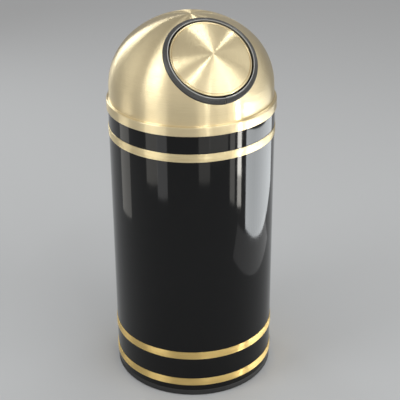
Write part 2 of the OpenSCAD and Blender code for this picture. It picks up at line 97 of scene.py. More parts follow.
# the side turns into a shoulder arc, which the crown's arc meets tangent at JOIN_ANGLE
JOIN_ANGLE = math.radians(48.888)
SHOULDER_X = (DOME_R - DOME_RISE) / (1 + math.tan(JOIN_ANGLE) - 1 / math.cos(JOIN_ANGLE))
SHOULDER_R = DOME_R - SHOULDER_X
CROWN_R = DOME_RISE + SHOULDER_X * math.tan(JOIN_ANGLE)
CROWN_Z = TOP_Z - CROWN_R

RIVET_X = 48 * MM
RIVET_HEAD_R = 3.2 * MM
RIVET_HEAD_H = 0.9 * MM
RIVET_SHANK_R = 2 * MM
RIVET_TAIL_H = 1.6 * MM
RIVET_CLEAR = 0.1 * MM  # between the bracket and a rivet's tail
BRACKET_T = 2 * MM


# ---------- sizes of the door and its edging ----------

# the door's axis leaves the dome's centre line at DOOR_FOOT and rises by DOOR_TILT
DOOR_TILT = math.radians(48.8)
DOOR_FOOT = Vector((0, 0, STEP_Z - 8 * MM))
DOOR_OUT = Vector((0, -math.cos(DOOR_TILT), math.sin(DOOR_TILT)))
DOOR_UP = Vector((0, math.sin(DOOR_TILT), math.cos(DOOR_TILT)))
DOOR_RIGHT = Vector((1, 0, 0))
HOLE_R = 98.2 * MM
CUT_SPAN = (0.1, 0.3)    # along the axis, where the hole's cutter runs
MEET_SPAN = (0.1, 0.25)  # along the axis, where the lines beside it come out of the dome

LIP_R = 94.9 * MM
EDGING_R = 106 * MM
EDGING_T = 2.2 * MM
EDGING_BEAD_R = 1.3 * MM
EDGING_EASE = 1.1 * MM               # rounding of its cut ends
EDGING_LOW = 0.3 * MM                # least height of a rounded end over the dome
EDGING_JOINT = math.radians(2 - 90)  # two degrees to the right of the lowest point
EDGING_JOINT_GAP = 0.5 * MM
EDGING_SLIPS = (0.2 * MM, 0.6 * MM)  # how far the first end stands inward, and the last one outward
EDGING_SPRUNG = 16 * MM              # length over which that wears off

DOOR_R = 91.4 * MM
DOOR_CROWN = 20.9 * MM
DOOR_RECESS = 5.6 * MM
DOOR_T = 1 * MM
DOOR_RIM_R = 2 * MM
DOOR_BALL_R = (DOOR_R ** 2 + DOOR_CROWN ** 2) / (2 * DOOR_CROWN)
DOOR_CREASE_W = 3.3 * MM  # from the crown's edge to the middle of the rolled rim
# points of the crease between the two, out and down from the crown's edge
DOOR_CREASE = ((0.4 * MM, 0.35 * MM), (0.6 * MM, 1.3 * MM), (1.0 * MM, 2.0 * MM), (1.5 * MM, 2.0 * MM))

AXIS_DROP = CROWN_Z - DOOR_FOOT.z
AXIS_REACH = AXIS_DROP * math.sin(DOOR_TILT) + math.sqrt(
    CROWN_R ** 2 - (AXIS_DROP * math.cos(DOOR_TILT)) ** 2)
DOOR_RIM_S = AXIS_REACH - DOOR_RECESS - DOOR_CROWN


# ---------- sizes of the closing spring ----------

PIN = Vector((0, -22 * MM, TOP_Z - 23 * MM))
SPRING_WIRE_D = 1.6 * MM
SPRING_R = 5.2 * MM
SPRING_PITCH = 2.1 * MM
SPRING_TURNS = 7
SPRING_LEG_ANGLE = math.radians(62)
LEG_REST_U = 58 * MM    # how far up the door the moving leg ends
LEG_CLEAR = 0.15 * MM   # between the moving leg's end and the leaf
WIRE_CLEAR = 0.1 * MM   # between the fixed leg's end and the strap, and the moving leg and the coils


# ---------- mesh helpers ----------

CAN_TURNS = 192
DOME_TURNS = 256
HOLE_TURNS = 360
RIVET_TURNS = 40
EDGING_COLUMNS = 288
EDGING_END_COLUMNS = 4
COIL_STEPS = 32  # in each turn of the spring
WIRE_SIDES = 14
HALVINGS = 34    # in the search for a point on the dome
WELD = 1e-6      # points closer than this are one


def smooth(mesh, sharp):
    """Shades a mesh smooth, apart from edges sharper than an angle in degrees."""
    mesh.shade_smooth()
    mesh.set_sharp_from_angle(angle=math.radians(sharp))


def add_mesh(name, verts, faces, sharp=35):
    """A mesh object with its faces turned outward."""
    mesh = bpy.data.meshes.new(name)
    mesh.from_pydata(verts, [], faces)
    mesh.validate()
    obj = bpy.data.objects.new(name, mesh)
    bpy.context.scene.collection.objects.link(obj)
    work = bmesh.new()
    work.from_mesh(mesh)
    bmesh.ops.recalc_face_normals(work, faces=work.faces)
    work.to_mesh(mesh)
    work.free()
    smooth(mesh, sharp)
    return obj


def merge_axis(mesh):
    """Makes one point of those that lie together on the axis."""
    work = bmesh.new()
    work.from_mesh(mesh)
    bmesh.ops.remove_doubles(work, verts=work.verts, dist=WELD)
    work.to_mesh(mesh)
    work.free()


def arc(cx, cz, radius, start, end, steps):
    """Points of a circle from angle start to end, in degrees."""
    angles = [math.radians(start + (end - start) * i / steps) for i in range(steps + 1)]
    return [(cx + radius * math.cos(a), cz + radius * math.sin(a)) for a in angles]


def line(a, b, steps):
    """Points from a to b, without a."""
    return [(a[0] + (b[0] - a[0]) * i / steps, a[1] + (b[1] - a[1]) * i / steps)
            for i in range(1, steps + 1)]


def sweep_faces(columns, count, closed=False):
    """Faces between the sections of a sweep, of count points each, and its two ends where it is open."""
    faces = []
    for i in range(columns if closed else columns - 1):
        here, there = i * count, (i + 1) % columns * count
        for k in range(count):
            m = (k + 1) % count
            faces.append((here + k, there + k, there + m, here + m))
    if not closed:
        faces.append(tuple(range(count)))
        faces.append(tuple(reversed(range((columns - 1) * count, columns * count))))
    return faces


def revolve(name, profile, start=0.0, sweep=FULL_TURN, turns=CAN_TURNS, sharp=35,
            extra_angles=(), shift=lambda angle, r: 0):
    """Turns a closed (r, z) profile about Z, with each point shifted outward by shift(angle, r)."""
    whole = sweep >= FULL_TURN
    steps = turns if whole else turns + 1
    angles = sorted([start + sweep * i / turns for i in range(steps)] + list(extra_angles))
    verts = []
    for angle in angles:
        for r, z in profile:
            radius = r + shift(angle, r)
            verts.append((radius * math.cos(angle), radius * math.sin(angle), z))
    obj = add_mesh(name, verts, sweep_faces(len(angles), len(profile), whole), sharp)
    merge_axis(obj.data)
    return obj


def tube(name, points, radius):
    """A round wire along a list of points."""
    tangents = [(points[min(i + 1, len(points) - 1)] - points[max(i - 1, 0)]).normalized()
                for i in range(len(points))]
    side = tangents[0].orthogonal().normalized()
    verts = []
    for point, tangent in zip(points, tangents):
        side = (side - tangent * side.dot(tangent)).normalized()
        other = tangent.cross(side)
        for k in range(WIRE_SIDES):
            turn = FULL_TURN * k / WIRE_SIDES
            verts.append(point + radius * (math.cos(turn) * side + math.sin(turn) * other))
    return add_mesh(name, verts, sweep_faces(len(points), WIRE_SIDES), sharp=50)


def axes_matrix(right, up, out, origin):
    """A frame whose X, Y and Z are the given directions."""
    return Matrix.Translation(origin) @ Matrix((right, up, out)).transposed().to_4x4()


def door_matrix(reach):
    """Door frame: X right, Y up the door, Z outward, with its origin on the door axis."""
    return axes_matrix(DOOR_RIGHT, DOOR_UP, DOOR_OUT, DOOR_FOOT + DOOR_OUT * reach)


def dress(obj, material):
    """Gives an object one material."""
    obj.data.materials.clear()
    obj.data.materials.append(material)


def place(obj, body, slot, node, material=None):
    """Puts a piece on its body with its slot's material, or one like it, in place of a CAD node."""
    dress(obj, material or MATERIALS[slot])
    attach(obj, body)
    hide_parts(node)


# ---------- material helpers ----------

# a point's place about an axis, and the tangent that runs round the axis there
Ring = namedtuple("Ring", "tangent radius along direction")


class NodeTree:
    """Makes the nodes of a material or a world."""

    BLEND_COLOURS = (6, 7)  # the colour sockets of a Mix node, whose names its other sockets share
    BLEND_RESULT = 2

    def __init__(self, tree):
        self.tree = tree

    def feed(self, socket, value):
        """Links a socket to another node's output, or sets it to a plain value."""
        if hasattr(value, "is_output"):
            self.tree.links.new(value, socket)
        else:
            socket.default_value = value

    def node(self, kind, *values, **settings):
        """A new node with the given settings, whose first sockets are fed the values."""
        new = self.tree.nodes.new(kind)
        for key, value in settings.items():
            setattr(new, key, value)
        for socket, value in zip(new.inputs, values):
            self.feed(socket, value)
        return new

    def fill(self, node, **sockets):
        """Feeds a node's sockets by their names, with _ for each space."""
        for name, value in sockets.items():
            self.feed(node.inputs[name.replace("_", " ")], value)
        return node

    def point(self, kind="Object"):
        return self.node("ShaderNodeTexCoord").outputs[kind]

    def math(self, operation, a, b):
        return self.node("ShaderNodeMath", a, b, operation=operation).outputs["Value"]

    def vector(self, operation, *values):
        step = self.node("ShaderNodeVectorMath", *values, operation=operation)
        return step.outputs["Value" if operation in ("DOT_PRODUCT", "LENGTH") else "Vector"]

    def scaled(self, vector, factor):
        step = self.node("ShaderNodeVectorMath", vector, operation="SCALE")
        return self.fill(step, Scale=factor).outputs["Vector"]

    def combine(self, x, y, z):
        return self.node("ShaderNodeCombineXYZ", x, y, z).outputs["Vector"]

    def noise(self, point, scale, detail, roughness=0.5):
        step = self.node("ShaderNodeTexNoise", point)
        return self.fill(step, Scale=scale, Detail=detail, Roughness=roughness).outputs["Fac"]

    def spread(self, value, low, high, from_low=0.3, from_high=0.7):
        """Maps one range, by default the one that noise mostly keeps to, onto another, and stays in it."""
        step = self.node("ShaderNodeMapRange", value, from_low, from_high, low, high)
        return step.outputs["Result"]

    def blend(self, factor, *colours):
        """Goes from the first colour to the second."""
        step = self.node("ShaderNodeMix", data_type="RGBA")
        self.feed(step.inputs["Factor"], factor)
        for index, colour in zip(self.BLEND_COLOURS, colours):
            self.feed(step.inputs[index], colour if hasattr(colour, "is_output") else (*colour, 1))
        return step.outputs[self.BLEND_RESULT]


class Shader(NodeTree):
    """A node material with one Principled surface."""

    def __init__(self, name, **sockets):
        self.material = bpy.data.materials.new(name)
        self.material.use_nodes = True
        super().__init__(self.material.node_tree)
        self.surface = self.tree.nodes["Principled BSDF"]
        self.finish(**sockets)

    def finish(self, **sockets):
        """Feeds the surface's own sockets."""
        self.fill(self.surface, **sockets)

    def bump(self, height, distance, strength):
        step = self.fill(self.node("ShaderNodeBump"), Height=height, Distance=distance, Strength=strength)
        self.finish(Normal=step.outputs["Normal"])

    def around(self, axis, centre):
        """The Ring of the surface's points about an axis."""
        offset = self.vector("SUBTRACT", self.point(), centre)
        circle = self.vector("CROSS_PRODUCT", axis, offset)
        world = self.node("ShaderNodeVectorTransform", circle, vector_type="VECTOR",
                          convert_from="OBJECT", convert_to="WORLD")
        return Ring(tangent=world.outputs["Vector"],
                    radius=self.vector("LENGTH", circle),
                    along=self.vector("DOT_PRODUCT", offset, axis),
                    direction=self.vector("NORMALIZE", circle))

    def brushed(self, axis, centre):
        """Brushes the surface in circles about an axis, and gives its Ring."""
        ring = self.around(axis, centre)
        self.finish(Tangent=ring.tangent)
        return ring

    def scratches(self, across, ring, fineness, change, detail, roughness=0.5):
        """Noise in lines that run round the axis: fine across them, and slow along them."""
        point = self.vector("ADD", self.scaled(across, fineness), self.scaled(ring.direction, change))
        return self.noise(point, 1, detail, roughness)

    def furrow(self, tangent, height, depth):
        """Tilts the normal across a brushed grain, so that highlights spread over the grain."""
        normal = self.node("ShaderNodeNewGeometry").outputs["Normal"]
        across = self.vector("CROSS_PRODUCT", normal, self.vector("NORMALIZE", tangent))
        tilt = self.math("MULTIPLY", self.math("SUBTRACT", height, 0.5), depth)
        bent = self.vector("NORMALIZE", self.vector("ADD", normal, self.scaled(across, tilt)))
        self.finish(Normal=bent)


# ---------- materials ----------

BRUSHED = {"Metallic": 1.0, "Anisotropic": 1.0, "Anisotropic_Rotation": 0.25}


def spun_brass(name, axis, centre):
    """Satin brass, spun in circles about an axis: fine rings, with highlights that fan across them."""
    ridge = (0.925, 0.77, 0.475)
    hollow = tuple(0.93 * c for c in ridge)
    s = Shader(name, **BRUSHED)
    ring = s.brushed(axis, centre)
    across = s.combine(ring.radius, ring.along, 0)
    rings = s.scratches(across, ring, fineness=900, change=1.5, detail=4, roughness=0.7)
    cloud = s.noise(s.point(), scale=14, detail=3)
    s.finish(Base_Color=s.blend(s.spread(rings, 0, 1), hollow, ridge),
             Roughness=s.math("ADD", s.spread(rings, 0.285, 0.335), s.spread(cloud, 0, 0.02)))
    grain = s.scratches(across, ring, fineness=7000, change=6, detail=1)
    s.furrow(ring.tangent, grain, depth=1.4)
    return s.material


def satin_brass(name):
    """Brass strip brushed along its length, round the can. Near the floor its colour is darker and more
    orange: painted shade, for light that falls off towards the floor.
    """
    # painted shade: these darker, more orange colours near the floor stand in for light that falls off
    # there; the next ones are the lit colours
    painted_shade_hollow, painted_shade_ridge = (0.70, 0.49, 0.17), (0.84, 0.62, 0.25)
    lit_hollow, lit_ridge = (0.88, 0.71, 0.39), (0.97, 0.82, 0.50)
    s = Shader(name, **BRUSHED)
    ring = s.brushed((0, 0, 1), (0, 0, 0))
    across = s.combine(0, 0, ring.along)
    lines = s.scratches(across, ring, fineness=1600, change=3, detail=3, roughness=0.6)
    # clear is the share of the lit colours, which grows with height; below it the painted shade takes over
    clear = s.spread(ring.along, 0, 1, from_low=0.15, from_high=0.55)
    hollow = s.blend(clear, painted_shade_hollow, lit_hollow)
    ridge = s.blend(clear, painted_shade_ridge, lit_ridge)
    s.finish(Base_Color=s.blend(s.spread(lines, 0, 1), hollow, ridge), Roughness=s.spread(lines, 0.33, 0.4))
    s.furrow(ring.tangent, lines, depth=2.4)
    return s.material


def black_enamel(name):
    """Gloss enamel over rolled sheet: a faint orange peel and a little dust."""
    clean, dusty = (0.0016, 0.0016, 0.0018), (0.0032, 0.0031, 0.003)
    s = Shader(name, IOR=1.37)
    peel = s.noise(s.point(), scale=160, detail=2)
    dust = s.noise(s.point(), scale=35, detail=5, roughness=0.65)
    s.finish(Base_Color=s.blend(s.spread(dust, 0, 1, from_low=0.55, from_high=0.75), clean, dusty),
             Roughness=s.spread(dust, 0.045, 0.085))
    s.bump(peel, distance=0.04 * MM, strength=0.12)
    return s.material


def vinyl(name, dark, light, smoothest, roughest):
    """Black vinyl or rubber between two greys, with fine pores."""
    s = Shader(name, IOR=1.5)
    cloud = s.noise(s.point(), scale=40, detail=4)
    pores = s.noise(s.point(), scale=900, detail=2)
    s.finish(Base_Color=s.blend(s.spread(cloud, 0, 1), (dark,) * 3, (light,) * 3),
             Roughness=s.spread(cloud, smoothest, roughest))
    s.bump(pores, distance=0.06 * MM, strength=0.4)
    return s.material


def edging_vinyl(name):
    """Grained vinyl with a smooth bead along its inner lip, on which a painted highlight lies, and painted
    shade along its outer edge.
    """
    pore, raised = (0.018, 0.017, 0.015), (0.075, 0.072, 0.069)
    # painted shade: a darker colour along the outer edge of the edging, where it stands on the dome
    painted_edge_shade = (0.012, 0.01, 0.008)
    # painted highlight: a light grey on the bead of the inner lip, where a glossy highlight falls
    painted_lip_highlight = (0.36, 0.35, 0.33)
    s = Shader(name, IOR=1.52)
    radius = s.around(tuple(DOOR_OUT), tuple(DOOR_FOOT)).radius
    # band is 0 on the bead of the lip and 1 on the grained band: it places the painted highlight, and the
    # bead's real lower roughness
    band = s.spread(radius, 0, 1, from_low=LIP_R + 2.0 * MM, from_high=LIP_R + 2.9 * MM)
    edge_shade_mask = s.spread(radius, 0, 1, from_low=EDGING_R - 1.5 * MM, from_high=EDGING_R - 0.5 * MM)
    pores = s.noise(s.point(), scale=800, detail=3, roughness=0.7)
    grained = s.blend(s.spread(pores, 0, 1, from_low=0.38, from_high=0.62), pore, raised)
    # the grained colour, with the painted shade laid over its outer edge
    edge_shaded = s.blend(edge_shade_mask, grained, painted_edge_shade)
    s.finish(Base_Color=s.blend(band, painted_lip_highlight, edge_shaded),
             Roughness=s.spread(band, 0.12, 0.32, from_low=0, from_high=1))
    s.bump(s.math("MULTIPLY", pores, band), distance=0.1 * MM, strength=0.5)
    return s.material


def galvanised(name):
    """Zinc-dipped sheet with its spangle."""
    s = Shader(name, Metallic=1.0)
    warp = s.noise(s.point(), scale=60, detail=2)
    warped = s.vector("ADD", s.point(), s.scaled(s.combine(warp, warp, warp), 0.01))
    cells = s.fill(s.node("ShaderNodeTexVoronoi", warped), Scale=95)
    cell = s.node("ShaderNodeSeparateColor", cells.outputs["Color"])
    s.finish(Base_Color=s.blend(cell.outputs["Red"], (0.46, 0.48, 0.49), (0.64, 0.66, 0.67)),
             Roughness=s.spread(cell.outputs["Green"], 0.28, 0.52, from_low=0, from_high=1))
    s.bump(warp, distance=0.1 * MM, strength=0.2)
    return s.material


def plated_steel(name, dark, light, smoothest, roughest):
    """Plated or drawn steel between two tones, a little uneven."""
    s = Shader(name, Metallic=1.0)
    cloud = s.noise(s.point(), scale=70, detail=4, roughness=0.6)
    fine = s.noise(s.point(), scale=900, detail=2)
    s.finish(Base_Color=s.blend(s.spread(cloud, 0, 1), dark, light),
             Roughness=s.spread(cloud, smoothest, roughest))
    s.bump(fine, distance=0.04 * MM, strength=0.25)
    return s.material


def pale_floor(name):
    """A matt pale floor whose tone drifts a little."""
    s = Shader(name, Roughness=1.0, Specular_IOR_Level=0.0)
    drift = s.noise(s.point("Generated"), scale=3, detail=2)
    s.finish(Base_Color=s.spread(drift, 0.5, 0.53, from_low=0, from_high=1))
    return s.material


MATERIALS = {
    "black_enamel": black_enamel("black_enamel"),
    "spun_brass": spun_brass("dome_brass", (0, 0, 1), (0, 0, 0)),
    "satin_brass": satin_brass("satin_brass"),
    "base_vinyl": vinyl("base_vinyl", 0.012, 0.02, 0.6, 0.75),
    "edging_vinyl": edging_vinyl("edging_vinyl"),
    "galvanised_sheet": galvanised("galvanised_sheet"),
    "zinc_steel": plated_steel("zinc_steel", (0.52, 0.53, 0.54), (0.66, 0.66, 0.65), 0.25, 0.42),
    "spring_steel": plated_steel("spring_steel", (0.26, 0.26, 0.28), (0.38, 0.38, 0.40), 0.3, 0.45),
    "pad_rubber": vinyl("pad_rubber", 0.022, 0.035, 0.65, 0.8),
}
# the door is spun about its own axis
DOOR_BRASS = spun_brass("door_brass", tuple(DOOR_OUT), tuple(DOOR_FOOT))


def dress_cad_nodes():
    """Gives every CAD node the node material of its slot."""
    slots = {part["node"]: part["material_slot"] for part in frame["record"]["subparts"]}
    for name, obj in frame["nodes"].items():
        dress(obj, MATERIALS[slots[name]])


# ---------- can ----------

def seam_shift(angle, r):
    """How far the wall's outside stands out: it sinks into a groove along its upright seam."""
    in_groove = abs(angle - REAR) * CAN_R < (SEAM_FLOOR_HALF + SEAM_HALF) / 2
    return -SEAM_DEPTH if in_groove and r > CAN_R - WALL_EASE else 0


def make_wall():
    """The rolled wall, with eased lower edges, a curled bead round its mouth and a seam at the rear."""
    inner = CAN_R - WALL_T
    low = WALL_LOW.z
    eased = low + WALL_EASE
    bead_z = WALL_HIGH.z - MOUTH_BEAD_R
    neck_z = bead_z - MOUTH_NECK
    profile = [(inner, eased), (inner + WALL_EASE, low), (CAN_R - WALL_EASE, low), (CAN_R, eased)]
    profile += line(profile[-1], (CAN_R, bead_z), 24)
    profile += arc(CAN_R - MOUTH_BEAD_R, bead_z, MOUTH_BEAD_R, 0, MOUTH_BEAD_CURL, 20)[1:]
    profile += line(profile[-1], (inner, neck_z), 2)
    profile += line(profile[-1], (inner, eased), 24)[:-1]
    seam = [REAR + side * half / CAN_R for side in (-1, 1) for half in (SEAM_FLOOR_HALF, SEAM_HALF)]
    wall = revolve("can_wall", profile, extra_angles=seam, shift=seam_shift)
    place(wall, "can", "black_enamel", "outer_shell")


def make_band(node):
    """A round-edged strip bent round the can, with its joint open at the rear."""
    low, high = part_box(node)
    foot = CAN_R + FILM
    edge = BAND_EDGE_R
    profile = [(foot, low.z)]
    profile += arc(high.x - edge, low.z + edge, edge, -90, 0, 5)
    profile += arc(high.x - edge, high.z - edge, edge, 0, 90, 5)
    profile += [(foot, high.z)]
    half_gap = BAND_JOINT_GAP / 2 / CAN_R
    band = revolve(node + "_strip", profile, REAR + half_gap, FULL_TURN - 2 * half_gap)
    place(band, "can", "satin_brass", node)


def make_base_ring():
    """The moulded ring: a round outer edge, an eased inner one, and a rim on which the wall stands."""
    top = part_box("base_ring")[1]
    out_r, in_r = top.x, top.x - BASE_RING_W
    wall_in = CAN_R - WALL_T
    inner_z = top.z - BASE_RING_STEP
    ease = BASE_RING_EASE
    chamfer = 0.3 * ease
    profile = [(in_r, ease), (in_r + chamfer, chamfer), (in_r + ease, 0)]
    profile += arc(out_r - BASE_RING_ROUND, BASE_RING_ROUND, BASE_RING_ROUND, -90, 0, 12)
    profile += line(profile[-1], (out_r, top.z - ease), 3)
    profile += [(out_r - chamfer, top.z - chamfer), (out_r - ease, top.z)]
    profile += [(wall_in, top.z), (wall_in, inner_z), (in_r, inner_z)]
    ring = revolve("base_ring_moulding", profile)
    place(ring, "can", "base_vinyl", "base_ring")


# ---------- dome ----------

def dome_side(inset):
    """The dome's outside from the corner of its step to its pole, or its inside where it is inset."""
    foot = DOME_R - inset
    fillet = STEP_FILLET + inset
    join = math.degrees(JOIN_ANGLE)
    points = arc(SKIRT_R - STEP_ROUND, STEP_Z - STEP_ROUND, STEP_ROUND - inset, 0, 90, 8)
    points += arc(foot + fillet, STEP_Z - inset + fillet, fillet, 270, 180, 8)
    points += line(points[-1], (foot, DOME_Z), 6)
    points += arc(SHOULDER_X, DOME_Z, SHOULDER_R - inset, 0, join, 40)[1:]
    points += arc(0, CROWN_Z, CROWN_R - inset, join, 90, 40)[1:]
    return points


def dome_profile():
    """Closed section of the dome: its outside from the hem up, then its inside back down."""
    skirt_foot = (SKIRT_R, SKIRT_Z + DOME_T)
    hem_in = SKIRT_R - 2 * DOME_T
    hem_top = SKIRT_Z + HEM_H
    ease_w, ease_h = 0.2 * MM, 0.3 * MM
    outside = line(skirt_foot, (SKIRT_R, STEP_Z - STEP_ROUND), 4)[:-1] + dome_side(0)
    inside = list(reversed(dome_side(DOME_T)))
    hem = [(SKIRT_R - DOME_T, hem_top), (hem_in + ease_w, hem_top), (hem_in, hem_top - ease_h)]
    fold = arc(SKIRT_R - DOME_T, SKIRT_Z + DOME_T, DOME_T, 180, 360, 10)
    return outside + inside + hem + fold


def cut_hole(obj):
    """Cuts the door's hole along the door axis, through the front of the dome alone."""
    start, end = CUT_SPAN
    length = end - start
    cutter = revolve("cutter", [(0, 0), (HOLE_R, 0), (HOLE_R, length), (0, length)], turns=HOLE_TURNS)
    cutter.data.transform(door_matrix(start))
    cut = obj.modifiers.new("hole", "BOOLEAN")
    cut.operation = "DIFFERENCE"
    cut.solver = "EXACT"
    cut.object = cutter
    depsgraph = bpy.context.evaluated_depsgraph_get()
    mesh = bpy.data.meshes.new_from_object(obj.evaluated_get(depsgraph))
    obj.modifiers.clear()
    obj.data = mesh
    bpy.data.objects.remove(cutter)
    smooth(mesh, sharp=40)


def make_dome():
    dome = revolve("dome_spinning", dome_profile(), turns=DOME_TURNS, sharp=40)
    cut_hole(dome)
    place(dome, "dome", "spun_brass", "dome_shell")


def dome_height(point):
    """Signed distance of a point from the dome's outside."""
    r = math.hypot(point.x, point.y)
    if math.atan2(point.z - CROWN_Z, r) >= JOIN_ANGLE:
        return math.hypot(r, point.z - CROWN_Z) - CROWN_R
    return math.hypot(r - SHOULDER_X, point.z - DOME_Z) - SHOULDER_R


def on_dome(radius, angle, height):
    """The point at a radius and angle about the door axis that stands at a height over the dome."""
    base = DOOR_FOOT + radius * (math.cos(angle) * DOOR_RIGHT + math.sin(angle) * DOOR_UP)
    low, high = MEET_SPAN
    for _ in range(HALVINGS):
        middle = (low + high) / 2
        if dome_height(base + DOOR_OUT * middle) < height:
            low = middle
        else:
            high = middle
    return base + DOOR_OUT * low


def edging_section():
    """Closed section of the U edging, as (radius from the door axis, height over the dome).

    From the outside in: a grained band, a groove, the smooth bead of the lip, and the leg behind the dome.
    """
    back = -DOME_T - EDGING_T
    inside = -DOME_T - FILM
    band = EDGING_T - 0.5 * MM
    band_in = LIP_R + 3.9 * MM
    groove = 0.4 * MM
    groove_out, groove_in = LIP_R + 3.1 * MM, LIP_R + 2.7 * MM
    corner = 1.2 * MM
    foot = 1.6 * MM
    section = [(EDGING_R, FILM), (EDGING_R, band - corner)]
    section += arc(EDGING_R - corner, band - corner, corner, 0, 90, 8)[1:]
    section += line(section[-1], (band_in, band), 3)
    section += [(band_in - 0.5 * MM, band - 0.2 * MM), (groove_out, groove), (groove_in, groove)]
    section += arc(LIP_R + EDGING_BEAD_R, EDGING_T - EDGING_BEAD_R, EDGING_BEAD_R, 10, 180, 14)
    section += line(section[-1], (LIP_R, back + foot), 3)
    section += arc(LIP_R + foot, back + foot, foot, 180, 270, 7)[1:]
    section += line(section[-1], (EDGING_R - corner, back), 3)
    section += arc(EDGING_R - corner, back + corner, corner, 270, 360, 6)[1:]
    section += [(EDGING_R, inside), (HOLE_R - FILM, inside), (HOLE_R - FILM, FILM)]
    return section


def make_edging():
    """The edging, bent into a ring whose cut ends are eased and don't quite line up."""
    section = edging_section()
    length = FULL_TURN * LIP_R - EDGING_JOINT_GAP
    start = EDGING_JOINT + EDGING_JOINT_GAP / LIP_R / 2
    first_slip, last_slip = EDGING_SLIPS
    eased = [EDGING_EASE * k / EDGING_END_COLUMNS for k in range(EDGING_END_COLUMNS)]
    middle = [EDGING_EASE + (length - 2 * EDGING_EASE) * i / EDGING_COLUMNS
              for i in range(EDGING_COLUMNS + 1)]
    stations = eased + middle + [length - station for station in reversed(eased)]
    verts = []
    for from_first in stations:
        from_last = length - from_first
        into_end = max(0.0, EDGING_EASE - min(from_first, from_last))
        drop = EDGING_EASE - math.sqrt(EDGING_EASE ** 2 - into_end ** 2)
        slip = (last_slip * math.exp(-from_last / EDGING_SPRUNG)
                - first_slip * math.exp(-from_first / EDGING_SPRUNG))
        for r, h in section:
            if h > FILM:
                r, h = r + slip, max(h - drop, EDGING_LOW)
            verts.append(on_dome(r, start + from_first / LIP_R, h))
    faces = sweep_faces(len(stations), len(section))
    edging = add_mesh("door_opening_edging", verts, faces, sharp=50)
    place(edging, "dome", "edging_vinyl", "door_edging")


def make_rivets():
    """Two rivets through the crown: a low domed head outside and a tail under the bracket."""
    under = -(DOME_T + FILM + BRACKET_T + RIVET_CLEAR)
    end = under - RIVET_TAIL_H
    head_ball = (RIVET_HEAD_R ** 2 + RIVET_HEAD_H ** 2) / (2 * RIVET_HEAD_H)
    half = math.degrees(math.asin(RIVET_HEAD_R / head_ball))
    profile = [(0, end), (RIVET_HEAD_R * 0.8, end), (RIVET_HEAD_R, end + RIVET_TAIL_H * 0.4),
               (RIVET_HEAD_R, under), (RIVET_SHANK_R, under), (RIVET_SHANK_R, FILM)]
    profile += arc(0, FILM + RIVET_HEAD_H - head_ball, head_ball, 90 - half, 90, 10)
    one = revolve("rivet", profile, turns=RIVET_TURNS)
    lean = math.asin(RIVET_X / CROWN_R)
    verts, faces = [], []
    for side in (-1, 1):
        seat = (Matrix.Translation((0, 0, CROWN_Z)) @ Matrix.Rotation(side * lean, 4, "Y")
                @ Matrix.Translation((0, 0, CROWN_R)))
        start = len(verts)
        verts += [seat @ v.co for v in one.data.vertices]
        faces += [tuple(start + i for i in p.vertices) for p in one.data.polygons]
    bpy.data.objects.remove(one)
    rivets = add_mesh("crown_rivets", verts, faces, sharp=40)
    place(rivets, "dome", "satin_brass", "bracket_rivets")


# ---------- door ----------

def make_door():
    """The spun door: a crown, a narrow crease, and a rim rolled under."""
    rim_x = DOOR_R - DOOR_RIM_R
    ball_z = DOOR_CROWN - DOOR_BALL_R
    inner_r = DOOR_BALL_R - DOOR_T
    meet = math.degrees(math.acos((rim_x - DOOR_CREASE_W) / DOOR_BALL_R))
    inner_meet = math.degrees(math.acos((rim_x - DOOR_RIM_R) / inner_r))
    profile = arc(0, ball_z, DOOR_BALL_R, 90, meet, 60)
    edge_r, edge_z = profile[-1]
    profile += [(edge_r + out, edge_z - down) for out, down in DOOR_CREASE]
    profile += arc(rim_x, 0, DOOR_RIM_R, 152, -180, 28)
    profile += arc(0, ball_z, inner_r, inner_meet, 90, 30)
    door = revolve("door_spinning", profile, turns=DOME_TURNS, sharp=40)
    door.data.transform(door_matrix(DOOR_RIM_S))
    place(door, "door", "spun_brass", "door_panel", DOOR_BRASS)


# ---------- closing spring ----------

def door_uv(point):
    """A point as (up the door, outward from its rim plane)."""
    offset = point - DOOR_FOOT
    return offset.dot(DOOR_UP), offset.dot(DOOR_OUT) - DOOR_RIM_S


def from_door_uv(x, u, w):
    """The point at x across the door, u up it and w outward from its rim plane."""
    return DOOR_FOOT + DOOR_RIGHT * x + DOOR_UP * u + DOOR_OUT * (DOOR_RIM_S + w)


